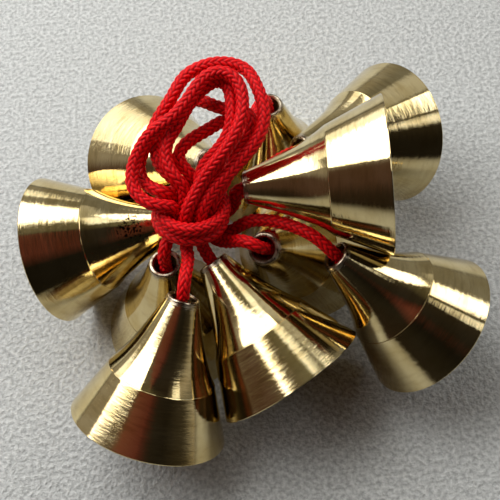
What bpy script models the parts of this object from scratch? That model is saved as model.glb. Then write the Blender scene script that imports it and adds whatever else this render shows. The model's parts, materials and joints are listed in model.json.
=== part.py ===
"""A bunch of ten turned brass bell cymbals, tied up in pairs by five red cords and one gathering knot."""
import math

import bmesh
import bpy
import numpy as np
from mathutils import Euler, Matrix, Vector

MM = 0.001

# Bell, in millimetres along its axis from the tip ring: a flare down to a crease, then a straight skirt
FLARE_LENGTH = 29.3
SKIRT_LENGTH = 20.4
CREASE_RADIUS = 19.0
MOUTH_RADIUS = 28.0
TIP_RADIUS = 5.7
TIP_ROUND = 0.7
FLARE_STRAIGHT = 0.8
FLARE_POWER = 4
LIP_WIDTH = 2.6
LIP_CHAMFER = 0.4
WALL = 3.0
BORE_RADIUS = 4.0
BORE_CHAMFER = 0.6
BORE_LENGTH = 12.0
CAVITY_NECK_RADIUS = 7.0
TURN_STEPS = 28

# Cord, its stopper knots and the gathering knot
CORD_DIAMETER = 4.2
STOPPER_RADIUS = 5.9
STOPPER_LENGTH = 10.0
STOPPER_TAIL = 5.0
STOPPER_STEPS = 12
PIVOT_DEPTH = 1.2
WRAP_TURNS = 1.7
WRAP_START = 144.0
WRAP_LIFT = 0.7
WRAP_GAP = 0.5
STRAND_GAP = 0.5
KNOT_CENTRE = (-19.0, -1.0, 62.5)
KNOT_LEAN = 18.0
KNOT_LEAN_HEADING = 55.0
BUNDLE_HALF = 6.0
CORD_STEP = 4.6

# Clearances
SEAT_GAP = 0.3
BELL_GAP = 0.6

BELL_HEIGHT = FLARE_LENGTH + SKIRT_LENGTH

BRASS = (0.78, 0.62, 0.30, 1.0)
RED = (0.75, 0.03, 0.03, 1.0)

# Each bell: tip's place, heading of its mouth and how far its axis dips, in millimetres and degrees.
# All stand on their mouths' rims but E, which lies on its neighbours.
BELLS = {
    "A": ((-26.7, 8.1), 175, 18),
    "B": ((-10.6, 24.5), 134, 42),
    "C": ((13.4, 51.9), 0, 90),
    "D": ((22.7, 30.1), 27, 28),
    "E": ((0.4, 4.2), -4, -3),
    "F": ((29.1, -19.8), -24, 43),
    "G": ((4.6, -15.3), 54, 57),
    "H": ((-13.8, -13.4), -58, 29),
    "I": ((-24.4, -29.0), -121, 43),
    "J": ((-30.5, -12.4), 0, 90),
}
LYING_ON_TOP = "E"

# Each cord joins two bells: the free run from a tip to the knot, the loop above it, and the run to the other tip.
# A slot is a strand's place in the knot, as a compass angle round it, or the middle pair "west" and "east".
CORDS = {
    "JI": {
        "bells": ("J", "I"), "slots": (206, 247.5),
        "out": [(-30.3, -11.8, 54.5), (-28.8, -8.6, 57.2)],
        "loop": [(-30, -3.5, 73.5), (-34.5, -0.5, 74), (-37.5, 4.5, 75.5), (-36.5, 10.5, 77.5), (-33, 15.5, 81.5),
                 (-28, 19, 85.5), (-21, 20.5, 89), (-15, 25, 92), (-10, 30.5, 94.5), (-4.5, 33.5, 95),
                 (1, 31.5, 94.5), (3.5, 25.5, 92.5), (2.5, 17.5, 90), (-1, 11.5, 87), (-6.5, 6.5, 83),
                 (-11.5, 3.5, 79.5), (-15, 0, 76)],
        "back": [(-21.5, -14.5, 56), (-22.8, -22.5, 58.5), (-24, -27.2, 57.2)],
    },
    "AH": {
        "bells": ("A", "H"), "slots": (157.5, 292.5),
        "out": [(-22, 6.9, 43.7), (-23, 4.7, 47), (-26, 2, 52)],
        "loop": [(-28, 3, 72.5), (-32.5, 6, 71.5), (-35, 11, 72), (-34.5, 16, 73.5), (-31.5, 20, 76.5),
                 (-29, 23, 79.5), (-26, 26.5, 82.5), (-21, 31, 86), (-15.5, 38, 89), (-10.5, 40, 90),
                 (-5, 41, 90.5), (0.5, 40.5, 90), (6, 37.5, 89.5), (8.5, 31, 89), (10, 24.5, 88), (10, 18.5, 86.5),
                 (8, 13, 84.5), (4.5, 9.5, 82), (0, 6.5, 79.5), (-5, 3, 77), (-10, 0, 74.5)],
        "back": [(-16.5, -9.5, 53), (-15.4, -11.2, 50.3)],
    },
    "BG": {
        "bells": ("B", "G"), "slots": (112.5, 337.5),
        "out": [(-9.5, 22.5, 57), (-12.5, 16, 57), (-17.5, 10, 51), (-22, 7.6, 52)],
        "loop": [(-23, 8, 71), (-26.5, 11.5, 72), (-29, 17.5, 72.5), (-28, 23, 73.5), (-25.5, 27, 75.5),
                 (-20.5, 32, 77.5), (-16, 34.5, 79.5), (-11.5, 33, 81.5), (-7, 29.5, 82), (-2.5, 26.5, 82.5),
                 (2, 25.5, 83), (5.5, 22.5, 83.5), (6, 18, 82.5), (3.5, 15, 79), (-0.5, 11.5, 76.5),
                 (-3.5, 8.5, 74), (-6, 4.5, 71)],
        "back": [(-12.5, -5, 53), (-8, -8.5, 56.5), (-1.5, -13.5, 60.5), (2.6, -16, 60.2)],
    },
    "DF": {
        "bells": ("D", "F"), "slots": ("west", "east"),
        "out": [(19, 28, 50), (6, 18, 53), (-7, 8, 48.5), (-15, 2.5, 46.5), (-20.5, -1, 47.5)],
        "loop": [(-19.5, 3, 73), (-23.5, 6.5, 77), (-25, 12, 79), (-24, 16.5, 81.5), (-20.5, 20, 83.5),
                 (-17, 24.5, 86), (-13.5, 28.5, 88), (-9.5, 31, 89.5), (-6, 33.5, 90), (-2.5, 33.5, 90),
                 (-0.5, 30.5, 89), (-0.5, 25, 88), (-1, 19, 86), (-3.5, 14, 83), (-7.5, 11.5, 79.5),
                 (-11.5, 10, 76), (-14, 7.5, 73.5), (-14.5, 3.5, 71)],
        "back": [(-14, -3, 48.5), (-7, -3.5, 50.5), (1.5, -3.5, 57), (12, -7.4, 59.4), (22, -14.2, 60), (27, -18.6, 57.2)],
    },
    "CE": {
        "bells": ("C", "E"), "slots": (67.5, 22.5),
        "out": [(12.6, 51, 54.5), (8.5, 43, 59), (0, 24, 60), (-6, 15, 56), (-12, 8.5, 52), (-16.5, 5, 51.5)],
        "loop": [(-16.5, 8.5, 69.5), (-19.5, 11.5, 72.5), (-21.5, 14.5, 75), (-19, 17.5, 76.5), (-15, 20, 77.5),
                 (-10, 22, 78), (-5, 25, 78), (-0.5, 26.5, 77), (1, 23.5, 75), (-0.5, 20, 73.5), (-3.5, 15.5, 72),
                 (-7.5, 12.5, 70), (-10.5, 9, 68.5)],
        "back": [(-8.3, 2.6, 53), (-3.6, 3.6, 57), (-2.7, 4, 61.3), (-3.4, 4.2, 65.2)],
    },
}


def outer_profile():
    """Outer outline as (depth from the tip, radius): rounded tip ring, concave flare, crease, straight skirt, rim."""
    points = [(0.0, TIP_RADIUS - TIP_ROUND), (TIP_ROUND * 0.3, TIP_RADIUS - TIP_ROUND * 0.3)]
    rise = CREASE_RADIUS - TIP_RADIUS
    for share in (0.0, 0.28, 0.52, 0.72, 0.88, 1.0):
        depth = TIP_ROUND + share * (FLARE_LENGTH - TIP_ROUND)
        bow = FLARE_STRAIGHT * share + (1 - FLARE_STRAIGHT) * share ** FLARE_POWER
        points.append((depth, TIP_RADIUS + rise * bow))
    points.append((BELL_HEIGHT - LIP_CHAMFER, MOUTH_RADIUS))
    points.append((BELL_HEIGHT, MOUTH_RADIUS - LIP_CHAMFER))
    return points


def bell_profile():
    """Closed outline of the turned bell, down its outer side and back up its cavity and cord bore."""
    outer = outer_profile()
    inner = [(BELL_HEIGHT, MOUTH_RADIUS - LIP_WIDTH), (FLARE_LENGTH, CREASE_RADIUS - WALL)]
    bow_depth, bow_radius = outer[5]
    inner.append((bow_depth, bow_radius - WALL))
    inner.append((BORE_LENGTH, CAVITY_NECK_RADIUS))
    inner.append((BORE_LENGTH, BORE_RADIUS))
    inner.append((BORE_CHAMFER, BORE_RADIUS))
    inner.append((0.0, BORE_RADIUS + BORE_CHAMFER))
    return outer + inner


def axis_of(heading, dip):
    """Direction from a bell's tip to its mouth."""
    h, d = math.radians(heading), math.radians(dip)
    return np.array((math.cos(h) * math.cos(d), math.sin(h) * math.cos(d), -math.sin(d)))


def rings(tip, axis):
    """Points on the circles that bound a bell, for measuring clearances."""
    side = np.cross(axis, (0.3, 0.5, 0.81))
    side /= np.linalg.norm(side)
    other = np.cross(axis, side)
    turn = np.linspace(0, 2 * math.pi, 48, endpoint=False)[:, None]
    wheel = np.cos(turn) * side + np.sin(turn) * other
    stations = outer_profile()
    skirt = [(FLARE_LENGTH + s * SKIRT_LENGTH, CREASE_RADIUS + s * (MOUTH_RADIUS - CREASE_RADIUS))
             for s in (0.33, 0.66)]
    return np.concatenate([tip + axis * depth + radius * wheel for depth, radius in stations + skirt])


def distance_outside(points, tip, axis):
    """Least distance of points from the solid of revolution inside a bell's outline, negative within it."""
    depth = (points - tip) @ axis
    radius = np.linalg.norm(points - tip - depth[:, None] * axis, axis=1)
    outline = np.array([(0.0, 0.0)] + outer_profile() + [(BELL_HEIGHT, 0.0)])
    start, end = outline[:-1], outline[1:]
    run = end - start
    place = np.stack((depth, radius), axis=1)[:, None]
    share = ((place - start) * run).sum(-1) / (run ** 2).sum(-1)
    nearest = start + np.clip(share, 0, 1)[..., None] * run
    gap = np.linalg.norm(place - nearest, axis=-1).min(axis=1)
    within = (depth > 0) & (depth < BELL_HEIGHT) & (radius < np.interp(depth, outline[1:-1, 0], outline[1:-1, 1]))
    return np.where(within, -gap, gap).min()


def clearance(one, two):
    """Least distance between two placed bells, each a (tip, axis) pair."""
    return min(distance_outside(rings(*one), *two), distance_outside(rings(*two), *one))


def stand(place, heading, dip):
    """A bell standing on its rim: its tip is as high as its height and its mouth's radius put it."""
    d = math.radians(dip)
    height = BELL_HEIGHT * math.sin(d) + (MOUTH_RADIUS - LIP_CHAMFER) * math.cos(d)
    height = max(height, (BELL_HEIGHT - LIP_CHAMFER) * math.sin(d) + MOUTH_RADIUS * math.cos(d))
    return np.array((*place, height)), axis_of(heading, dip)


def bisect(low, high, is_clear):
    """Least value between low and high that leaves things clear."""
    for _ in range(18):
        middle = (low + high) / 2
        if is_clear(middle):
            high = middle
        else:
            low = middle
    return high


def gathered():
    """Tip and axis of each bell: drawn together until the closest pair is BELL_GAP apart, E then laid on top."""
    def spread(share):
        return {name: stand((x * share, y * share), heading, dip)
                for name, ((x, y), heading, dip) in BELLS.items() if name != LYING_ON_TOP}

    def all_clear(share):
        placed = list(spread(share).values())
        return all(clearance(one, two) >= BELL_GAP for i, one in enumerate(placed) for two in placed[:i])

    share = bisect(0.8, 1.6, all_clear)
    placed = spread(share)
    (x, y), heading, dip = BELLS[LYING_ON_TOP]
    axis = axis_of(heading, dip)

    def above(height):
        return np.array((x * share, y * share, height)), axis

    height = bisect(MOUTH_RADIUS, 2 * BELL_HEIGHT + MOUTH_RADIUS,
                    lambda value: all(clearance(above(value), other) >= BELL_GAP for other in placed.values()))
    placed[LYING_ON_TOP] = above(height)
    print("spread", round(share, 4), "height of the top bell's tip", round(height, 2))
    return placed


def centre_of(placed):
    """Middle of the bells' box on the floor."""
    points = np.concatenate([rings(*bell) for bell in placed.values()])
    return (points.min(axis=0) + points.max(axis=0)) / 2 * (1, 1, 0)


def material(name, colour, metallic, roughness):
    made = bpy.data.materials.new(name)
    made.use_nodes = True
    shader = made.node_tree.nodes["Principled BSDF"]
    shader.inputs["Base Color"].default_value = colour
    shader.inputs["Metallic"].default_value = metallic
    shader.inputs["Roughness"].default_value = roughness
    made.diffuse_color = colour
    return made


def new_object(name, data, look):
    made = bpy.data.objects.new(name, data)
    made.data.materials.append(look)
    parts.objects.link(made)
    return made


def turned(name, outline, look, closed):
    """Solid of revolution about Z from (depth below the tip, radius) points; its origin is the cord's pivot."""
    mesh = bpy.data.meshes.new(name)
    shape = bmesh.new()
    ring = [shape.verts.new((radius * MM, 0, (PIVOT_DEPTH - depth) * MM)) for depth, radius in outline]
    for one, two in zip(ring, ring[1:] + ring[:1] if closed else ring[1:]):
        shape.edges.new((one, two))
    shape.to_mesh(mesh)
    shape.free()
    made = new_object(name, mesh, look)
    spin = made.modifiers.new("turned", "SCREW")
    spin.steps = TURN_STEPS if closed else STOPPER_STEPS
    spin.render_steps = spin.steps
    spin.use_merge_vertices = True
    spin.merge_threshold = 0.00001
    spin.use_smooth_shade = True
    return made


def stopper_profile():
    """Cord end from a round head at the pivot, through the bore, to the knot that seats under the bore's shoulder."""
    radius = CORD_DIAMETER / 2
    top = BORE_LENGTH + SEAT_GAP
    middle = top + STOPPER_LENGTH / 2
    points = [(PIVOT_DEPTH - radius * math.cos(math.radians(a)), radius * math.sin(math.radians(a)))
              for a in (0, 30, 60, 90)]
    points += [(top, radius), (top, BORE_RADIUS + 0.8)]
    points += [(middle - STOPPER_LENGTH * 0.2, STOPPER_RADIUS), (middle + STOPPER_LENGTH * 0.2, STOPPER_RADIUS)]
    points += [(top + STOPPER_LENGTH, radius), (top + STOPPER_LENGTH + STOPPER_TAIL, radius)]
    points += [(top + STOPPER_LENGTH + STOPPER_TAIL, 0.0)]
    return points


def smooth_run(points, step):
    """Even points along a smooth curve through the given ones."""
    ends = [2 * points[0] - points[1]] + points + [2 * points[-1] - points[-2]]
    dense = []
    for a, b, c, d in zip(ends, ends[1:], ends[2:], ends[3:]):
        knots = [0.0]
        for one, two in ((a, b), (b, c), (c, d)):
            knots.append(knots[-1] + math.sqrt(np.linalg.norm(two - one)))
        t0, t1, t2, t3 = knots
        for t in np.linspace(t1, t2, 16, endpoint=False):
            ab = (a * (t1 - t) + b * (t - t0)) / (t1 - t0)
            bc = (b * (t2 - t) + c * (t - t1)) / (t2 - t1)
            cd = (c * (t3 - t) + d * (t - t2)) / (t3 - t2)
            low = (ab * (t2 - t) + bc * (t - t0)) / (t2 - t0)
            high = (bc * (t3 - t) + cd * (t - t1)) / (t3 - t1)
            dense.append((low * (t2 - t) + high * (t - t1)) / (t2 - t1))
    dense.append(points[-1])
    dense = np.array(dense)
    along = np.concatenate(([0.0], np.cumsum(np.linalg.norm(np.diff(dense, axis=0), axis=1))))
    count = round(along[-1] / step) + 1
    marks = np.linspace(0, along[-1], count)
    return np.stack([np.interp(marks, along, dense[:, i]) for i in range(3)], axis=1)


def tube(name, points, look, sides):
    """Round cord along points in millimetres, with flat closed ends."""
    curve = bpy.data.curves.new(name, "CURVE")
    curve.dimensions = "3D"
    curve.bevel_depth = CORD_DIAMETER / 2 * MM
    curve.bevel_resolution = (sides - 4) // 2
    curve.use_fill_caps = True
    line = curve.splines.new("POLY")
    line.points.add(len(points) - 1)
    for point, place in zip(line.points, points):
        point.co = (*(place * MM), 1)
    return new_object(name, curve, look)


def knot_frame():
    """Centre, axis and two cross directions of the gathering knot."""
    lean, heading = math.radians(KNOT_LEAN), math.radians(KNOT_LEAN_HEADING)
    axis = np.array((math.sin(lean) * math.cos(heading), math.sin(lean) * math.sin(heading), math.cos(lean)))
    east = np.cross((0, 1, 0), axis)
    east /= np.linalg.norm(east)
    return np.array(KNOT_CENTRE), axis, east, np.cross(axis, east)


def slot_place(slot, along):
    """Point of a strand's place in the knot: eight strands stand round two middle ones."""
    centre, axis, east, north = knot_frame()
    pitch = CORD_DIAMETER + STRAND_GAP
    if slot in ("west", "east"):
        return centre + axis * along + east * pitch / 2 * (1 if slot == "east" else -1)
    angle = math.radians(slot)
    return centre + axis * along + bundle_radius() * (math.cos(angle) * east + math.sin(angle) * north)


def bundle_radius():
    """Radius on which the eight outer strands clear both their neighbours and the two middle strands."""
    pitch = CORD_DIAMETER + STRAND_GAP
    half, turn = pitch / 2, math.cos(math.radians(22.5))
    past_middle = half * turn + math.sqrt((half * turn) ** 2 + pitch ** 2 - half ** 2)
    return max(past_middle, half / math.sin(math.radians(22.5)))


def wrap_points():
    """The gathering knot's turns: a helix that lies round the strands."""
    centre, axis, east, north = knot_frame()
    radius = bundle_radius() + CORD_DIAMETER + WRAP_GAP
    rise = CORD_DIAMETER + WRAP_GAP
    count = round(24 * WRAP_TURNS)
    points = []
    for i in range(count + 1):
        climb = rise * WRAP_TURNS * (i / count - 0.5) + WRAP_LIFT
        angle = math.radians(WRAP_START + 360 * WRAP_TURNS * i / count)
        points.append(centre + axis * climb + radius * (math.cos(angle) * east + math.sin(angle) * north))
    return np.array(points)


def self_gap(points):
    """Least gap of a tube to itself, between stretches more than three diameters apart along it."""
    step = np.linalg.norm(points[1] - points[0])
    apart = math.ceil(3 * CORD_DIAMETER / step)
    far = np.triu_indices(len(points), apart)
    between = np.linalg.norm(points[far[0]] - points[far[1]], axis=1)
    return between.min() - CORD_DIAMETER


def cord_points(cord, placed):
    """A cord from one bell's tip, through the knot, round its loop, and back through the knot to the other's."""
    def leave(bell, toward):
        tip, axis = placed[bell]
        pivot = tip + axis * PIVOT_DEPTH
        lead = np.array(toward) - pivot
        lead /= np.linalg.norm(lead)
        start = pivot + lead * (CORD_DIAMETER / 2 + SEAT_GAP)
        return [start, start + lead * 1.0]

    first, second = cord["bells"]
    slot_in, slot_out = cord["slots"]
    route = leave(first, cord["out"][0])
    route += [np.array(p, float) for p in cord["out"]]
    route += [slot_place(slot_in, along) for along in (-BUNDLE_HALF, 0, BUNDLE_HALF)]
    route += [np.array(p, float) for p in cord["loop"]]
    route += [slot_place(slot_out, along) for along in (BUNDLE_HALF, 0, -BUNDLE_HALF)]
    route += [np.array(p, float) for p in cord["back"]]
    route += leave(second, cord["back"][-1])[::-1]
    return smooth_run(route, CORD_STEP)


def build():
    brass = {name: material("brass_" + name, BRASS, 1.0, 0.22) for name in BELLS}
    placed = gathered()
    middle = centre_of(placed)
    print("middle of the bells' box", middle.round(2))
    for name, (tip, axis) in placed.items():
        _, heading, dip = BELLS[name]
        place = Matrix.Translation(Vector(tip + axis * PIVOT_DEPTH - middle) * MM)
        turn = Euler((0, -math.radians(90 - dip), math.radians(heading))).to_matrix().to_4x4()
        for made in (turned("bell_" + name, bell_profile(), brass[name], True),
                     turned("stopper_" + name, stopper_profile(), material("stopper_" + name, RED, 0.0, 0.8), False)):
            made.matrix_world = place @ turn
        print("pivot", name, ((tip + axis * PIVOT_DEPTH - middle) * MM).round(5), "axis", axis.round(5))
    for name, cord in CORDS.items():
        points = cord_points(cord, placed)
        tube("cord_" + name, points - middle, material("cord_" + name, RED, 0.0, 0.8), 8)
        length = np.linalg.norm(np.diff(points, axis=0), axis=1).sum()
        print("cord", name, "length", round(length, 1), "points", len(points), "gap to itself", round(self_gap(points), 2))
    wrap = wrap_points()
    tube("knot_wrap", wrap - middle, material("knot_wrap", RED, 0.0, 0.8), 8)
    print("wrap gap to itself", round(self_gap(wrap), 2))


for old in list(bpy.data.objects):
    bpy.data.objects.remove(old)
parts = bpy.data.collections.new("bell_cymbal_bunch")
bpy.context.scene.collection.children.link(parts)
build()
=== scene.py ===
"""Looks of a bunch of turned brass bell cymbals on red braided cords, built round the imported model."""
import json
import math

import bmesh
import bpy
import numpy as np
from mathutils import Matrix, Vector

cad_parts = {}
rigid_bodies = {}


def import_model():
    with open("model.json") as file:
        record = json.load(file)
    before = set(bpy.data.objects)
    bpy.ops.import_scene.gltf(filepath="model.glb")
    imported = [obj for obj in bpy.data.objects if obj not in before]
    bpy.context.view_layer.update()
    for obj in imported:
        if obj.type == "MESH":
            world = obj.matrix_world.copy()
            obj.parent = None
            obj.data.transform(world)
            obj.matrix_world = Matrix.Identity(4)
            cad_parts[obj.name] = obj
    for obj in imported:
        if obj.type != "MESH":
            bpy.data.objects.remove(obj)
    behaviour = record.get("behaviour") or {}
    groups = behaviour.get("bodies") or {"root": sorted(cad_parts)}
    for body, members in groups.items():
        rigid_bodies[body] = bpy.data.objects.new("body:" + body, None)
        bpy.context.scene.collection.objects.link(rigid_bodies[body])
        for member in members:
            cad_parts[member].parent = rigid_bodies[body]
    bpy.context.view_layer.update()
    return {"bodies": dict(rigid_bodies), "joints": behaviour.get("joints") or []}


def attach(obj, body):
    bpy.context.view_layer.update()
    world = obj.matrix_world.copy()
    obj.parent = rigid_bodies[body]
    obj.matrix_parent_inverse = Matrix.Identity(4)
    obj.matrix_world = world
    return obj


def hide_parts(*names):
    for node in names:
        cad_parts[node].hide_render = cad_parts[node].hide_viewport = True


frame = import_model()
MM = 0.001

# The camera stands where the photograph was taken: above the bunch and in front of it, looking down 60
# degrees, with the picture turned a little. The numbers are in millimetres and degrees.
CAMERA_TARGET = (-0.12, 0.9, 30.0)
CAMERA_RISE = 60.3
CAMERA_DISTANCE = 382.4
CAMERA_ROLL = -6.7
CAMERA_LENS = 73.05

rise, roll = math.radians(CAMERA_RISE), math.radians(CAMERA_ROLL)
look = Vector((0, math.cos(rise), -math.sin(rise)))
level = Vector((1, 0, 0))
above = Vector((0, math.sin(rise), math.cos(rise)))
right = level * math.cos(roll) + above * math.sin(roll)
up = above * math.cos(roll) - level * math.sin(roll)
camera = bpy.data.objects.new("camera", bpy.data.cameras.new("camera"))
bpy.context.scene.collection.objects.link(camera)
camera.data.lens = CAMERA_LENS
camera.data.clip_start = 0.01
place = (Vector(CAMERA_TARGET) - look * CAMERA_DISTANCE) * MM
turn = Matrix((right, up, -look)).transposed().to_4x4()
camera.matrix_world = Matrix.Translation(place) @ turn
bpy.context.scene.camera = camera
bpy.context.scene.view_settings.view_transform = "Standard"


# Five cords, each tied into two bells: out of one bell's bore, through the gathering knot, up in a loop
# and back through the knot to the other bell. Each is a limp round braid of polyester yarn: eight yarns
# wind each way and float over two and under two, which shows as rows of plump V's.

# A cord is 4.2 mm thick where it is pulled tight, and its yarns stand a little prouder in the slack loops.
YARNS_EACH_WAY = 8
YARN_ADVANCE = 2.4 * MM
YARN_CREST = 2.36 * MM
YARN_RELIEF = 0.55 * MM
YARN_PLUMPNESS = 0.55
FLOAT_PLUMPNESS = 0.6
FLOAT_RISE = 0.75
YARN_SHIFT = 0.37
END_ROUNDING = 0.5
END_OPENING = 0.02
FIRST_SIDE = (0.31, 0.52, 0.79)
SPAN_POINTS = 24
LINE_STEP = 0.3 * MM
LINE_EASING = 140
CORD_AROUND = 70

# The cords' routes from bore to bore, in metres, by the letters of the two bells that each joins.
CORD_ROUTES = {
    "JI": [(-0.0305, -0.0113, 0.0509), (-0.0305, -0.0112, 0.0519), (-0.0304, -0.0109, 0.0545),
           (-0.0289, -0.0077, 0.0572), (-0.026, -0.0045, 0.0587), (-0.025, -0.003, 0.0644),
           (-0.0239, -0.0015, 0.0701), (-0.0301, -0.0026, 0.0735), (-0.0346, 0.0004, 0.074),
           (-0.0376, 0.0054, 0.0755), (-0.0366, 0.0114, 0.0775), (-0.0331, 0.0164, 0.0815),
           (-0.0281, 0.0199, 0.0855), (-0.0211, 0.0214, 0.089), (-0.0151, 0.0259, 0.092),
           (-0.0101, 0.0314, 0.0945), (-0.0046, 0.0344, 0.095), (0.0009, 0.0324, 0.0945),
           (0.0034, 0.0264, 0.0925), (0.0024, 0.0184, 0.09), (-0.0011, 0.0124, 0.087),
           (-0.0066, 0.0074, 0.083), (-0.0116, 0.0044, 0.0795), (-0.0151, 0.0009, 0.076),
           (-0.0203, -0.0046, 0.0702), (-0.0214, -0.0062, 0.0645), (-0.0224, -0.0077, 0.0588),
           (-0.0216, -0.0136, 0.056), (-0.0229, -0.0216, 0.0585), (-0.0241, -0.0263, 0.0572),
           (-0.0244, -0.027, 0.0561), (-0.0245, -0.0275, 0.0553)],
    "AH": [(-0.0257, 0.0086, 0.0423), (-0.0248, 0.0084, 0.0427), (-0.0221, 0.0078, 0.0437),
           (-0.0231, 0.0056, 0.047), (-0.0261, 0.0029, 0.052), (-0.0265, 0.0009, 0.0573),
           (-0.0254, 0.0024, 0.063), (-0.0243, 0.0039, 0.0687), (-0.0281, 0.0039, 0.0725),
           (-0.0326, 0.0069, 0.0715), (-0.0351, 0.0119, 0.072), (-0.0346, 0.0169, 0.0735),
           (-0.0316, 0.0209, 0.0765), (-0.0291, 0.0239, 0.0795), (-0.0261, 0.0274, 0.0825),
           (-0.0211, 0.0319, 0.086), (-0.0156, 0.0389, 0.089), (-0.0106, 0.0409, 0.09),
           (-0.0051, 0.0419, 0.0905), (0.0004, 0.0414, 0.09), (0.0059, 0.0384, 0.0895),
           (0.0084, 0.0319, 0.089), (0.0099, 0.0254, 0.088), (0.0099, 0.0194, 0.0865),
           (0.0079, 0.0139, 0.0845), (0.0044, 0.0104, 0.082), (-0.0001, 0.0074, 0.0795),
           (-0.0051, 0.0039, 0.077), (-0.0101, 0.0009, 0.0745), (-0.0152, -0.0046, 0.0693),
           (-0.0163, -0.0062, 0.0636), (-0.0173, -0.0077, 0.0579), (-0.0166, -0.0086, 0.053),
           (-0.0155, -0.0103, 0.0503), (-0.015, -0.0111, 0.0497), (-0.0145, -0.0117, 0.0491)],
    "BG": [(-0.0105, 0.0248, 0.0549), (-0.0102, 0.0243, 0.0557), (-0.0096, 0.0234, 0.057),
           (-0.0126, 0.0169, 0.057), (-0.0176, 0.0109, 0.051), (-0.0221, 0.0085, 0.052),
           (-0.023, 0.0044, 0.0557), (-0.022, 0.006, 0.0614), (-0.0209, 0.0075, 0.0671),
           (-0.0231, 0.0089, 0.071), (-0.0266, 0.0124, 0.072), (-0.0291, 0.0184, 0.0725),
           (-0.0281, 0.0239, 0.0735), (-0.0256, 0.0279, 0.0755), (-0.0206, 0.0329, 0.0775),
           (-0.0161, 0.0354, 0.0795), (-0.0116, 0.0339, 0.0815), (-0.0071, 0.0304, 0.082),
           (-0.0026, 0.0274, 0.0825), (0.0019, 0.0264, 0.083), (0.0054, 0.0234, 0.0835),
           (0.0059, 0.0189, 0.0825), (0.0034, 0.0159, 0.079), (-0.0006, 0.0124, 0.0765),
           (-0.0036, 0.0094, 0.074), (-0.0061, 0.0054, 0.071), (-0.0118, -0.0011, 0.0677),
           (-0.0128, -0.0026, 0.062), (-0.0139, -0.0041, 0.0563), (-0.0132, -0.0048, 0.0524),
           (-0.0106, -0.0066, 0.0518), (-0.007, -0.009, 0.0546), (-0.0016, -0.0126, 0.0605),
           (0.0025, -0.0151, 0.0602), (0.0033, -0.0147, 0.0586), (0.0038, -0.0144, 0.0578)],
    "DF": [(0.0216, 0.0304, 0.0484), (0.0209, 0.03, 0.0488), (0.0189, 0.0289, 0.05),
           (0.0059, 0.0189, 0.053), (-0.0071, 0.0089, 0.0485), (-0.0151, 0.0034, 0.0465),
           (-0.0206, -0.0001, 0.0475), (-0.0225, -0.0016, 0.0572), (-0.0214, -0.0001, 0.0629),
           (-0.0204, 0.0014, 0.0686), (-0.0196, 0.0039, 0.073), (-0.0236, 0.0074, 0.077),
           (-0.0251, 0.0129, 0.079), (-0.0241, 0.0174, 0.0815), (-0.0206, 0.0209, 0.0835),
           (-0.0171, 0.0254, 0.086), (-0.0136, 0.0294, 0.088), (-0.0096, 0.0319, 0.0895),
           (-0.0061, 0.0344, 0.09), (-0.0026, 0.0344, 0.09), (-0.0006, 0.0314, 0.089),
           (-0.0006, 0.0259, 0.088), (-0.0011, 0.0199, 0.086), (-0.0036, 0.0149, 0.083),
           (-0.0076, 0.0124, 0.0795), (-0.0116, 0.0109, 0.076), (-0.0141, 0.0084, 0.0735),
           (-0.0146, 0.0044, 0.071), (-0.0157, 0.0014, 0.0678), (-0.0168, -0.0001, 0.0621),
           (-0.0179, -0.0016, 0.0564), (-0.0141, -0.0021, 0.0485), (-0.0071, -0.0026, 0.0505),
           (0.0014, -0.0026, 0.057), (0.0119, -0.0065, 0.0594), (0.0219, -0.0133, 0.06),
           (0.0269, -0.0177, 0.0572), (0.0278, -0.0182, 0.0559), (0.0284, -0.0185, 0.0551)],
    "CE": [(0.013, 0.0524, 0.0509), (0.0128, 0.0523, 0.0518), (0.0125, 0.0519, 0.0545),
           (0.0084, 0.0439, 0.059), (-0.0001, 0.0249, 0.06), (-0.0061, 0.0159, 0.056),
           (-0.0121, 0.0094, 0.052), (-0.0166, 0.0059, 0.0515), (-0.0179, 0.0044, 0.0548),
           (-0.0169, 0.006, 0.0605), (-0.0158, 0.0075, 0.0662), (-0.0166, 0.0094, 0.0695),
           (-0.0196, 0.0124, 0.0725), (-0.0216, 0.0154, 0.075), (-0.0191, 0.0184, 0.0765),
           (-0.0151, 0.0209, 0.0775), (-0.0101, 0.0229, 0.078), (-0.0051, 0.0259, 0.078),
           (-0.0006, 0.0274, 0.077), (0.0009, 0.0244, 0.075), (-0.0006, 0.0209, 0.0735),
           (-0.0036, 0.0164, 0.072), (-0.0076, 0.0134, 0.07), (-0.0106, 0.0099, 0.0685),
           (-0.012, 0.0039, 0.0664), (-0.0131, 0.0024, 0.0607), (-0.0141, 0.0009, 0.055),
           (-0.0084, 0.0035, 0.053), (-0.0037, 0.0045, 0.057), (-0.0028, 0.0049, 0.0613),
           (-0.0035, 0.0051, 0.0652), (-0.0018, 0.0051, 0.0657), (-0.0008, 0.0051, 0.066)],
}
spins = {joint["child"]: joint for joint in frame["joints"] if joint["name"].startswith("spin_")}


def linear(colour):
    """An sRGB hex colour as the linear numbers that a shader takes."""
    parts = np.array([int(colour[i:i + 2], 16) for i in (0, 2, 4)]) / 255
    return (*np.where(parts <= 0.04045, parts / 12.92, ((parts + 0.055) / 1.055) ** 2.4), 1.0)


def node(tree, kind, inputs, stops=(), **settings):
    """Adds a node. Inputs are keyed by socket, and each is a socket to link, a number or a hex colour; stops
    are the places and colours of a ramp, and settings the node's own properties."""
    made = tree.nodes.new(kind)
    for key, value in settings.items():
        setattr(made, key, value)
    for key, value in inputs.items():
        if isinstance(value, bpy.types.NodeSocket):
            tree.links.new(value, made.inputs[key])
        else:
            made.inputs[key].default_value = linear(value) if isinstance(value, str) else value
    for number, (position, colour) in enumerate(stops):
        elements = made.color_ramp.elements
        element = elements[number] if number < 2 else elements.new(position)
        element.position = position
        element.color = linear(colour)
    return made


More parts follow.
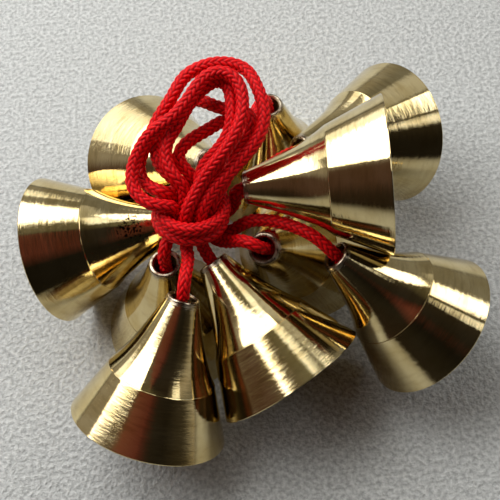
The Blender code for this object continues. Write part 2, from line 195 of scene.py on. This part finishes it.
def new_material(name):
    """A material and its tree, with the shader that every finish here ends in."""
    made = bpy.data.materials.new(name)
    made.use_nodes = True
    return made, made.node_tree, made.node_tree.nodes["Principled BSDF"]


def smooth_run(points, step):
    """Even points along a smooth curve through the given ones: a cubic whose speed follows the root of each
    span."""
    points = [np.array(point) for point in points]
    ends = [2 * points[0] - points[1]] + points + [2 * points[-1] - points[-2]]
    dense = []
    for a, b, c, d in zip(ends, ends[1:], ends[2:], ends[3:]):
        t0 = 0.0
        t1 = t0 + math.sqrt(np.linalg.norm(b - a))
        t2 = t1 + math.sqrt(np.linalg.norm(c - b))
        t3 = t2 + math.sqrt(np.linalg.norm(d - c))
        t = np.linspace(t1, t2, SPAN_POINTS, endpoint=False)[:, None]
        ab = (a * (t1 - t) + b * (t - t0)) / (t1 - t0)
        bc = (b * (t2 - t) + c * (t - t1)) / (t2 - t1)
        cd = (c * (t3 - t) + d * (t - t2)) / (t3 - t2)
        low = (ab * (t2 - t) + bc * (t - t0)) / (t2 - t0)
        high = (bc * (t3 - t) + cd * (t - t1)) / (t3 - t1)
        dense.append((low * (t2 - t) + high * (t - t1)) / (t2 - t1))
    dense = np.concatenate(dense + [points[-1][None]])
    along = np.concatenate(([0.0], np.cumsum(np.linalg.norm(np.diff(dense, axis=0), axis=1))))
    marks = np.linspace(0, along[-1], round(along[-1] / step) + 1)
    return np.stack([np.interp(marks, along, dense[:, i]) for i in range(3)], axis=1)


def eased(line, passes):
    """A line with its kinks rounded: each pass moves a point halfway to the middle of its neighbours."""
    line = line.copy()
    for _ in range(passes):
        line[1:-1] = line[1:-1] / 2 + (line[:-2] + line[2:]) / 4
    return line


def carried_frames(line):
    """Tangents of a line, and two cross directions carried along it with no twist."""
    tangent = np.gradient(line, axis=0)
    tangent /= np.linalg.norm(tangent, axis=1)[:, None]
    side = np.cross(tangent[0], FIRST_SIDE)
    sides = []
    for direction in tangent:
        side = side - direction * (side @ direction)
        side = side / np.linalg.norm(side)
        sides.append(side)
    sides = np.array(sides)
    return tangent, sides, np.cross(tangent, sides)


def grid_mesh(name, sheets, material):
    """One piece from closed grids of points, each given with its point attributes and whether its two end
    rings are capped; where they aren't, its rows close on themselves. A grid's second index goes round."""
    points, faces, values, start = [], [], {}, 0
    for grid, attributes, capped in sheets:
        rows, around = grid.shape[:2]
        index = start + np.arange(rows * around).reshape(rows, around)
        here, below = (index[:-1], index[1:]) if capped else (index, np.roll(index, -1, axis=0))
        quads = np.stack((here, np.roll(here, -1, 1), np.roll(below, -1, 1), below), axis=-1)
        faces += quads.reshape(-1, 4).tolist()
        if capped:
            faces += [index[0][::-1].tolist(), index[-1].tolist()]
        points.append(grid.reshape(-1, 3))
        for key, value in attributes.items():
            values.setdefault(key, []).append(value.reshape(-1, 3))
        start += rows * around
    mesh = bpy.data.meshes.new(name)
    mesh.from_pydata(np.concatenate(points).tolist(), [], faces)
    for key, parts in values.items():
        made = mesh.attributes.new(key, "FLOAT_VECTOR", "POINT")
        made.data.foreach_set("vector", np.concatenate(parts).reshape(-1).astype(np.float32))
    shape = bmesh.new()
    shape.from_mesh(mesh)
    bmesh.ops.recalc_face_normals(shape, faces=shape.faces)
    shape.to_mesh(mesh)
    shape.free()
    mesh.materials.append(material)
    mesh.shade_smooth()
    piece = bpy.data.objects.new(name, mesh)
    bpy.context.scene.collection.objects.link(piece)
    return piece


def braid(along, angle):
    """Height of a round braid, from 0 in its valleys to 1 on its crests, and where a point lies on its yarn.
    One set of yarns keeps a = turns + advance whole, the other b = turns - advance. The sum of the two whole
    parts, by fours, says which set floats on top, and a float is two yarns long. The height is a sine across
    the yarn times a lower one along the float, each raised to a power below one, which makes it plump. Every
    yarn's place is shifted, so that its filaments aren't its neighbour's."""
    turns = YARNS_EACH_WAY * angle / (2 * math.pi)
    advance = along / YARN_ADVANCE
    a, b = turns + advance, turns - advance
    on_top = np.mod(np.floor(a) + np.floor(b), 4) < 2
    own = np.where(on_top, a, b)
    other = np.where(on_top, b, a)
    across = np.mod(own, 1.0)
    start = np.where(on_top, -np.floor(a), 2 - np.floor(b))
    float_place = np.clip(np.mod(other - start, 4.0) / 2, 0, 1)
    arch = 1 - FLOAT_RISE + FLOAT_RISE * np.sin(math.pi * float_place) ** FLOAT_PLUMPNESS
    height = np.sin(math.pi * across) ** YARN_PLUMPNESS * arch
    return height, np.stack((across + np.floor(own) * YARN_SHIFT, other, height), axis=-1)


def braided_tube(line, crest, around):
    """A braided cord along a line, as a grid and its yarn attribute: a tube whose radius is the crest's, less
    the depth of the braid at each point, and which rounds off like a quarter circle over its last
    millimetre."""
    angle = np.linspace(0, 2 * math.pi, around, endpoint=False)[None, :]
    gaps = np.linalg.norm(np.diff(line, axis=0), axis=1)
    along = np.concatenate(([0.0], np.cumsum(gaps)))[:, None]
    tangent, side, other_side = carried_frames(line)
    height, yarn = braid(along + 0 * angle, angle + 0 * along)
    from_end = np.minimum(along, along[-1] - along) / (END_ROUNDING * crest)
    rounding = np.sqrt(np.clip(1 - np.clip(1 - from_end, 0, 1) ** 2, END_OPENING, 1))
    radius = (crest - YARN_RELIEF * (1 - height)) * rounding
    ring = np.cos(angle)[..., None] * side[:, None] + np.sin(angle)[..., None] * other_side[:, None]
    return line[:, None] + ring * radius[..., None], {"yarn": yarn}, True


# Dyed polyester yarn, braided: saturated red with a soft gloss on the crests, and painted shade that darkens
# the red down into the valleys between the yarns. The filaments are drawn about 0.15 mm wide, coarser than real
# ones, so that they show.
cord_material, tree, shader = new_material("braided_polyester_cord")
yarn_place = node(tree, "ShaderNodeAttribute", {}, attribute_name="yarn").outputs["Vector"]
yarn_height = node(tree, "ShaderNodeSeparateXYZ", {"Vector": yarn_place}).outputs["Z"]
stretched = node(tree, "ShaderNodeMapping",
                 {"Vector": yarn_place, "Scale": (9.0, 1.1, 0.0)}).outputs["Vector"]
filaments = node(tree, "ShaderNodeTexNoise",
                 {"Vector": stretched, "Scale": 1.0, "Detail": 2.0}).outputs["Fac"]
place_on_piece = node(tree, "ShaderNodeTexCoord", {}).outputs["Object"]
soiling = node(tree, "ShaderNodeTexNoise",
               {"Vector": place_on_piece, "Scale": 160.0, "Detail": 3.0}).outputs["Fac"]
# Painted shade: the red runs from deep in the valleys between the yarns to bright on the crests, by the yarn's
# height.
painted_valley_shade = node(tree, "ShaderNodeValToRGB", {"Fac": yarn_height},
                stops=[(0.1, "560206"), (0.9, "FF1218"), (0.45, "DE0A12")]).outputs["Color"]
by_filament = node(tree, "ShaderNodeValToRGB", {"Fac": filaments},
                   stops=[(0.3, "D0C8C8"), (0.65, "FFFFFF")]).outputs["Color"]
by_soiling = node(tree, "ShaderNodeValToRGB", {"Fac": soiling},
                  stops=[(0.3, "E2DCDC"), (0.6, "FFFFFF")]).outputs["Color"]
shaded_and_streaked = node(tree, "ShaderNodeMix", {0: 0.6, 6: painted_valley_shade, 7: by_filament}, data_type="RGBA",
                blend_type="MULTIPLY").outputs[2]
shaded_streaked_and_soiled = node(tree, "ShaderNodeMix", {0: 0.5, 6: shaded_and_streaked, 7: by_soiling}, data_type="RGBA",
               blend_type="MULTIPLY").outputs[2]
tree.links.new(shaded_streaked_and_soiled, shader.inputs["Base Color"])
shader.inputs["Roughness"].default_value = 0.5
shader.inputs["Specular IOR Level"].default_value = 0.15
fibre_bump = node(tree, "ShaderNodeBump", {"Height": filaments, "Strength": 0.6, "Distance": 0.0001})
tree.links.new(fibre_bump.outputs["Normal"], shader.inputs["Normal"])

for key, route in CORD_ROUTES.items():
    first, second = [tuple(spins["bell_" + letter]["pos_m"]) for letter in key]
    line = eased(smooth_run([first] + route + [second], LINE_STEP), LINE_EASING)
    cord = grid_mesh("braided_cord_" + key, [braided_tube(line, YARN_CREST, CORD_AROUND)], cord_material)
    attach(cord, "bunch")
    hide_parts("cord_" + key)

# The gathering knot: nearly two turns of the same cord round all ten strands, pulled tight. It climbs a
# cord's thickness and a little more in each turn, and its two ends are tucked under the strands.
# Millimetres and degrees.
KNOT_CENTRE = (-19.12, -0.1, 62.5)
KNOT_LEAN = 18.0
KNOT_LEAN_HEADING = 55.0
WRAP_RADIUS = 11.484
WRAP_TURNS = 1.7
WRAP_START = 144.0
WRAP_RISE = 4.7
WRAP_LIFT = 0.7
WRAP_POINTS = 420


def wrap_line():
    """A helix about the knot's leaning axis, which climbs evenly as it turns."""
    lean, heading = math.radians(KNOT_LEAN), math.radians(KNOT_LEAN_HEADING)
    axis = np.array((math.sin(lean) * math.cos(heading), math.sin(lean) * math.sin(heading), math.cos(lean)))
    east = np.cross((0, 1, 0), axis)
    east /= np.linalg.norm(east)
    north = np.cross(axis, east)
    share = np.linspace(0, 1, WRAP_POINTS)[:, None]
    angle = np.radians(WRAP_START + 360 * WRAP_TURNS * share)
    climb = WRAP_RISE * WRAP_TURNS * (share - 0.5) + WRAP_LIFT
    outward = np.cos(angle) * east + np.sin(angle) * north
    return (np.array(KNOT_CENTRE) + axis * climb + WRAP_RADIUS * outward) * MM


line = wrap_line()
wrap = grid_mesh("gathering_knot_wrap", [braided_tube(line, YARN_CREST, CORD_AROUND)], cord_material)
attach(wrap, "bunch")
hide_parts("knot_wrap")

# Ten bells, each turned from one piece of cast brass: a short cord bore through the tip, a flare that
# curves out to a crease, and a straight skirt to the mouth. The outside is polished on the lathe and the
# inside is left as cut.

# Millimetres and degrees, with depths from the tip. CREASE_ROWS and LIP_ROUND hold depths and radii
# measured from the crease's and the rim's. The many rows keep the highlights smooth.
FLARE_LENGTH = 29.3
SKIRT_LENGTH = 20.4
BELL_HEIGHT = FLARE_LENGTH + SKIRT_LENGTH
MOUTH_RADIUS = 28.0
CREASE_RADIUS = 19.0
TIP_RADIUS = 5.7
TIP_ROUND = 0.7
FLARE_STRAIGHT = 0.8
FLARE_POWER = 4
LIP_WIDTH = 2.6
LIP_CHAMFER = 0.4
WALL = 3.0
BORE_RADIUS = 4.0
BORE_CHAMFER = 0.6
BORE_LENGTH = 12.0
CAVITY_NECK_RADIUS = 7.0
BOW_SHARE = 0.72
PIVOT_DEPTH = 1.2
CREASE_ROWS = ((-0.12, -0.09), (0.0, -0.1), (0.12, 0.05))
LIP_ROUND = (0.1, 0.12)
TOOL_MARK = 0.0003
TOOL_MARK_WAVES = (1.0, 1.6, 2.5, 4.0)
TIP_ROWS = 7
FLARE_ROWS = 100
SKIRT_ROWS = 60
CAVITY_ROWS = 12
BELL_AROUND = 180
SHARP_EDGE = 28


def flare(share):
    """Depth and radius along the flare: a straight cone with a fourth power added, so that it opens near the
    crease."""
    depth = TIP_ROUND + share * (FLARE_LENGTH - TIP_ROUND)
    bow = FLARE_STRAIGHT * share + (1 - FLARE_STRAIGHT) * share ** FLARE_POWER
    return depth, TIP_RADIUS + (CREASE_RADIUS - TIP_RADIUS) * bow


def bell_outline(seed):
    """The bell's closed outline as (depth, radius, inside) rows, down the outside and back up the cavity and
    bore. Tool marks are a sum of sine waves 1 to 4 mm long, each with a phase of its own and as deep as its
    length times TOOL_MARK, at most about a thousandth of a millimetre."""
    waves = np.random.default_rng(seed)
    turn = np.linspace(0, math.pi / 2, TIP_ROWS)
    tip = np.stack((TIP_ROUND * (1 - np.cos(turn)), TIP_RADIUS - TIP_ROUND * (1 - np.sin(turn))), axis=1)
    tip = np.concatenate(([(0.0, BORE_RADIUS + BORE_CHAMFER)], tip))
    body = np.stack(flare(np.linspace(0, 1, FLARE_ROWS)[1:-1]), axis=1)
    crease = [(FLARE_LENGTH + below, CREASE_RADIUS + out) for below, out in CREASE_ROWS]
    share = np.linspace(0, 1, SKIRT_ROWS)[1:-1, None]
    skirt = (1 - share) * (FLARE_LENGTH, CREASE_RADIUS) + share * (BELL_HEIGHT - LIP_CHAMFER, MOUTH_RADIUS)
    rim = [(BELL_HEIGHT - LIP_CHAMFER, MOUTH_RADIUS),
           (BELL_HEIGHT - LIP_ROUND[0], MOUTH_RADIUS - LIP_ROUND[1]),
           (BELL_HEIGHT, MOUTH_RADIUS - LIP_CHAMFER), (BELL_HEIGHT, MOUTH_RADIUS - LIP_WIDTH)]
    bow_depth, bow_radius = flare(BOW_SHARE)
    corners = np.array([(BELL_HEIGHT, MOUTH_RADIUS - LIP_WIDTH), (FLARE_LENGTH, CREASE_RADIUS - WALL),
                        (bow_depth, bow_radius - WALL), (BORE_LENGTH, CAVITY_NECK_RADIUS),
                        (BORE_LENGTH, BORE_RADIUS), (BORE_CHAMFER, BORE_RADIUS)])
    marks = np.linspace(0, 1, CAVITY_ROWS)[1:, None]
    cavity = np.concatenate([a * (1 - marks) + b * marks for a, b in zip(corners, corners[1:])])
    outside = np.concatenate((tip, body, crease, skirt, rim))
    turned_part = outside[len(tip):-len(rim)]
    for wavelength in TOOL_MARK_WAVES:
        phase = waves.uniform(0, 2 * math.pi)
        wave = np.sin(2 * math.pi * turned_part[:, 0] / wavelength + phase)
        turned_part[:, 1] += TOOL_MARK * wavelength * wave
    inside = np.concatenate((np.zeros(len(outside)), np.ones(len(cavity))))
    return np.column_stack((np.concatenate((outside, cavity)), inside))


def turned_bell(name, pivot, axis, material, seed):
    """The outline carried round the bell's axis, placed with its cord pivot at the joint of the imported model.
    It carries its place on the lathe, whether it is inside, and the direction down the bell's side as
    attributes."""
    outline = bell_outline(seed)
    upright = abs(axis[2]) > 0.99
    side = np.array((1.0, 0, 0)) if upright else np.cross(axis, (0, 0, 1))
    side /= np.linalg.norm(side)
    other = np.cross(axis, side)
    angle = np.linspace(0, 2 * math.pi, BELL_AROUND, endpoint=False)
    wheel = np.cos(angle)[:, None] * side + np.sin(angle)[:, None] * other
    depth, radius = outline[:, 0], outline[:, 1]
    from_pivot = (depth - PIVOT_DEPTH)[:, None, None] * axis + radius[:, None, None] * wheel[None]
    points = pivot + from_pivot * MM
    own = np.stack((radius[:, None] * np.cos(angle), radius[:, None] * np.sin(angle),
                    depth[:, None] + 0 * angle), axis=-1)
    inside = np.stack((outline[:, 2][:, None] + 0 * angle,) * 3, axis=-1)
    slope = np.roll(outline[:, :2], -1, axis=0) - np.roll(outline[:, :2], 1, axis=0)
    slope /= np.linalg.norm(slope, axis=1)[:, None]
    down = slope[:, 0, None, None] * axis + slope[:, 1, None, None] * wheel[None]
    piece = grid_mesh(name, [(points, {"turned": own, "cavity": inside, "down": down}, False)], material)
    piece.data.set_sharp_from_angle(angle=math.radians(SHARP_EDGE))
    return piece


# Cast brass, turned and then polished on the lathe: a pale greenish gold mirror. The lathe's fine rings
# spread what it mirrors along the bell's side and keep it crisp round the bell, as a low, stretched
# roughness gives, and deeper rings tear its edges. Tarnish is faint and brown.
def brass_material(name, pitted):
    made, tree, shader = new_material(name)
    place = node(tree, "ShaderNodeAttribute", {}, attribute_name="turned").outputs["Vector"]
    cavity = node(tree, "ShaderNodeAttribute", {}, attribute_name="cavity").outputs["Fac"]
    depth = node(tree, "ShaderNodeSeparateXYZ", {"Vector": place}).outputs["Z"]
    # The rings are coarser than real ones, up to 1.7 mm apart with finer ones between, so that they show.
    ring_place = node(tree, "ShaderNodeMapping",
                      {"Vector": place, "Scale": (0.1, 0.1, 0.6)}).outputs["Vector"]
    rings = node(tree, "ShaderNodeTexNoise", {"Vector": ring_place, "Scale": 1.0, "Detail": 5.0,
                                              "Roughness": 0.66}).outputs["Fac"]
    scuff_place = node(tree, "ShaderNodeMapping",
                       {"Vector": place, "Scale": (0.35, 0.35, 1.1)}).outputs["Vector"]
    scuffs = node(tree, "ShaderNodeTexNoise", {"Vector": scuff_place, "Scale": 1.0, "Detail": 5.0,
                                               "Roughness": 0.6}).outputs["Fac"]
    patches = node(tree, "ShaderNodeTexNoise",
                   {"Vector": place, "Scale": 0.09, "Detail": 3.0}).outputs["Fac"]
    metal = node(tree, "ShaderNodeValToRGB", {"Fac": patches},
                 stops=[(0.35, "DAC38A"), (0.6, "ECD9A6")]).outputs["Color"]
    ring_tint = node(tree, "ShaderNodeValToRGB", {"Fac": rings},
                     stops=[(0.25, "C6BCA8"), (0.5, "FFFFFF")]).outputs["Color"]
    tinted = node(tree, "ShaderNodeMix", {0: 0.5, 6: metal, 7: ring_tint}, data_type="RGBA",
                  blend_type="MULTIPLY").outputs[2]
    # The tip, which its cord rubs, is duller, browner and speckled down to a ragged edge.
    ragged = node(tree, "ShaderNodeMath", {0: scuffs, 1: -5.0, 2: depth}, operation="MULTIPLY_ADD").outputs[0]
    tip_wear = node(tree, "ShaderNodeMapRange",
                    {"Value": ragged, "From Min": 0.0, "From Max": -1.4}).outputs["Result"]
    speckle = node(tree, "ShaderNodeValToRGB", {"Fac": scuffs},
                   stops=[(0.38, "5A4838"), (0.6, "CCBEA6")]).outputs["Color"]
    worn = node(tree, "ShaderNodeMix", {0: tip_wear, 6: tinted, 7: speckle}, data_type="RGBA").outputs[2]
    colour = node(tree, "ShaderNodeMix", {0: cavity, 6: worn, 7: "C9B48E"}, data_type="RGBA",
                  blend_type="MULTIPLY").outputs[2]
    if pitted:
        # Small dark casting pits, thickest within 3 mm of one place on the flare and gone 9 mm from it.
        near = node(tree, "ShaderNodeVectorMath", {0: place, 1: (-3.4, -9.4, 13.5)},
                    operation="DISTANCE").outputs["Value"]
        patch = node(tree, "ShaderNodeMapRange", {"Value": near, "From Min": 9.0, "From Max": 3.0,
                                                  "To Min": 0.0, "To Max": 0.25}).outputs["Result"]
        cells = node(tree, "ShaderNodeTexNoise",
                     {"Vector": place, "Scale": 1.1, "Detail": 2.0}).outputs["Fac"]
        spots = node(tree, "ShaderNodeMath", {0: cells, 1: patch}, operation="ADD").outputs[0]
        holes = node(tree, "ShaderNodeMapRange",
                     {"Value": spots, "From Min": 0.76, "From Max": 0.8}).outputs["Result"]
        colour = node(tree, "ShaderNodeMix", {0: holes, 6: colour, 7: "1C150C"}, data_type="RGBA").outputs[2]
    tree.links.new(colour, shader.inputs["Base Color"])
    rough = node(tree, "ShaderNodeMapRange", {"Value": scuffs, "From Min": 0.3, "From Max": 0.75,
                                              "To Min": 0.04, "To Max": 0.12}).outputs["Result"]
    rougher = node(tree, "ShaderNodeMath", {0: cavity, 1: tip_wear}, operation="MAXIMUM").outputs[0]
    rough = node(tree, "ShaderNodeMath", {0: rougher, 1: 0.2, 2: rough}, operation="MULTIPLY_ADD").outputs[0]
    tree.links.new(rough, shader.inputs["Roughness"])
    shader.inputs["Metallic"].default_value = 1.0
    shader.inputs["Anisotropic"].default_value = 0.6
    down = node(tree, "ShaderNodeAttribute", {}, attribute_name="down").outputs["Vector"]
    down = node(tree, "ShaderNodeVectorTransform", {"Vector": down}, vector_type="VECTOR",
                convert_from="OBJECT", convert_to="WORLD").outputs["Vector"]
    tree.links.new(down, shader.inputs["Tangent"])
    bump = node(tree, "ShaderNodeBump", {"Height": rings, "Strength": 1.0, "Distance": 0.00007})
    tree.links.new(bump.outputs["Normal"], shader.inputs["Normal"])
    return made


polished_brass = brass_material("polished_turned_brass", False)
pitted_brass = brass_material("pitted_turned_brass", True)
for number, (body, joint) in enumerate(sorted(spins.items())):
    pivot, axis = np.array(joint["pos_m"]), np.array(joint["axis"])
    finish = pitted_brass if body == "bell_A" else polished_brass
    bell = turned_bell("turned_" + body, pivot, axis / np.linalg.norm(axis), finish, number)
    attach(bell, body)
    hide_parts(body)

# The cords' ten ends: each passes down a bell's bore and is tied in a barrel knot inside, a turn and a
# half round its own standing part, which seats under the bore's shoulder and holds the bell. Millimetres,
# with depths from the pivot down the bell.
KNOT_TOP = 13.1
KNOT_BOTTOM = 19.1
KNOT_TURNS = 1.5
KNOT_TURN_RADIUS = 3.75
KNOT_CREST = 2.0
END_TAIL = 6.9
KNOT_SIDE = (0.2, 0.5, 0.8)
STANDING_POINTS = 90
TURN_POINTS = 120
END_AROUND = 44


def knotted_end(pivot, axis):
    """Two tubes: the standing part straight down the bell's axis to its tail, and a helix round it."""
    side = np.cross(axis, KNOT_SIDE)
    side /= np.linalg.norm(side)
    other = np.cross(axis, side)
    depth = np.linspace(0, KNOT_BOTTOM + END_TAIL, STANDING_POINTS)[:, None]
    share = np.linspace(0, 1, TURN_POINTS)[:, None]
    angle = 2 * math.pi * KNOT_TURNS * share
    turns = (KNOT_TOP + (KNOT_BOTTOM - KNOT_TOP) * share) * axis
    turns = turns + KNOT_TURN_RADIUS * (np.cos(angle) * side + np.sin(angle) * other)
    return [braided_tube(pivot + depth * axis * MM, YARN_CREST, END_AROUND),
            braided_tube(pivot + turns * MM, KNOT_CREST * MM, END_AROUND)]


for letter in "ABCDEFGHIJ":
    joint = spins["bell_" + letter]
    axis = np.array(joint["axis"])
    grids = knotted_end(np.array(joint["pos_m"]), axis / np.linalg.norm(axis))
    knot = grid_mesh("knotted_cord_end_" + letter, grids, cord_material)
    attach(knot, "end_" + letter if "end_" + letter in frame["bodies"] else "bunch")
    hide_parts("stopper_" + letter)

# A floor covered in pale grey leathercloth, large enough to fill the picture: nearly matt, with a fine
# pressed grain 1 to 2 mm across that shows as soft light and dark. Metres.
FLOOR_REACH = 3
corners = [(x * FLOOR_REACH, y * FLOOR_REACH, 0) for x, y in ((-1, -1), (1, -1), (1, 1), (-1, 1))]
floor_mesh = bpy.data.meshes.new("floor")
floor_mesh.from_pydata(corners, [], [(0, 1, 2, 3)])
floor = bpy.data.objects.new("floor", floor_mesh)
bpy.context.scene.collection.objects.link(floor)
floor_material, tree, shader = new_material("fine_grained_pale_floor")
place_on_piece = node(tree, "ShaderNodeTexCoord", {}).outputs["Object"]
grain = node(tree, "ShaderNodeTexNoise", {"Vector": place_on_piece, "Scale": 620.0, "Detail": 3.0,
                                          "Roughness": 0.55}).outputs["Fac"]
tone = node(tree, "ShaderNodeValToRGB", {"Fac": grain}, stops=[(0.35, "A6A8A6"), (0.65, "D4D6D3")])
tree.links.new(tone.outputs["Color"], shader.inputs["Base Color"])
shader.inputs["Roughness"].default_value = 0.55
floor_bump = node(tree, "ShaderNodeBump", {"Height": grain, "Strength": 1.0, "Distance": 0.001})
tree.links.new(floor_bump.outputs["Normal"], shader.inputs["Normal"])
floor.data.materials.append(floor_material)


# Soft studio light, placed as the metal shows it in the photograph: a tall window behind on the left with
# a low, dimmer one beneath it, a small one high up behind on the right with a pale patch of wall under it,
# a bright window on the right, and a narrow, dim one past that.

# Headings are degrees clockwise from straight behind the bunch, seen from above, heights are degrees above
# the floor, and distances are metres.
LAMP_DISTANCE = 0.8
LAMP_AIM = Vector((0, 0, 0.04))


def window(name, heading, height, wide, tall, roll, radiance):
    """A rectangular lamp in one direction, sized in degrees as the bunch sees it, whose face has that
    radiance: its power is the radiance times pi times its area."""
    heading, height = math.radians(heading), math.radians(height)
    level = math.cos(height)
    toward = Vector((level * math.sin(heading), level * math.cos(heading), math.sin(height)))
    lamp = bpy.data.objects.new(name, bpy.data.lights.new(name, "AREA"))
    lamp.data.shape = "RECTANGLE"
    lamp.data.size = 2 * LAMP_DISTANCE * math.tan(math.radians(wide / 2))
    lamp.data.size_y = 2 * LAMP_DISTANCE * math.tan(math.radians(tall / 2))
    lamp.data.energy = radiance * math.pi * lamp.data.size * lamp.data.size_y
    facing = toward.to_track_quat("Z", "Y").to_matrix().to_4x4()
    rolled = facing @ Matrix.Rotation(math.radians(roll), 4, "Z")
    lamp.matrix_world = Matrix.Translation(LAMP_AIM + toward * LAMP_DISTANCE) @ rolled
    lamp.visible_camera = False
    bpy.context.scene.collection.objects.link(lamp)


window("tall_window", -46, 51, 58, 45, 6, 4.2)
window("low_window", -33, 20, 54, 16, 4, 1.25)
window("top_window", 24, 68, 16, 16, 0, 1.3)
window("pale_wall", 26, 46, 26, 28, 0, 0.3)
window("right_window", 71, 44, 26, 22, 12, 3.2)
window("narrow_window", 108, 44, 10, 14, 0, 1.1)

# The room that the metal mirrors between the windows: dim grey-brown walls, paler behind the bunch, which
# pass into a ceiling between 41 and 59 degrees above the floor. It is reddish on the camera's side.
world = bpy.data.worlds.new("dim_room")
bpy.context.scene.world = world
world.use_nodes = True
tree = world.node_tree
direction = node(tree, "ShaderNodeTexCoord", {}).outputs["Generated"]
split = node(tree, "ShaderNodeSeparateXYZ", {"Vector": direction}).outputs
angle = node(tree, "ShaderNodeMath", {0: split["X"], 1: split["Y"]}, operation="ARCTAN2").outputs[0]
heading = node(tree, "ShaderNodeMapRange",
               {"Value": angle, "From Min": -math.pi, "From Max": math.pi}).outputs["Result"]
# A stop's place goes round the room, from 0 on the camera's side through 0.25 on the left, 0.5 behind and
# 0.75 on the right to 1.
walls = node(tree, "ShaderNodeValToRGB", {"Fac": heading},
             stops=[(0.0, "181613"), (1.0, "181613"), (0.05, "24211C"), (0.14, "2A221C"), (0.17, "4A3832"),
                    (0.23, "4E3C34"), (0.26, "8E8882"), (0.49, "98948C"), (0.51, "74726C"),
                    (0.58, "7E7C76"), (0.73, "74726C"), (0.76, "6A665C"), (0.785, "A8A298"),
                    (0.803, "8E887C"), (0.82, "38332B"), (0.88, "1C1915")]).outputs["Color"]
ceiling = node(tree, "ShaderNodeValToRGB", {"Fac": heading},
               stops=[(0.0, "5A302A"), (1.0, "502A24"), (0.17, "6C4238"), (0.22, "5C5448"),
                      (0.55, "6A6656"), (0.7, "4E4A3C"), (0.78, "2C2722"), (0.93, "282420")]).outputs["Color"]
overhead = node(tree, "ShaderNodeMapRange",
                {"Value": split["Z"], "From Min": 0.66, "From Max": 0.86}).outputs["Result"]
room = node(tree, "ShaderNodeMix", {0: overhead, 6: walls, 7: ceiling}, data_type="RGBA").outputs[2]
tree.links.new(room, tree.nodes["Background"].inputs["Color"])
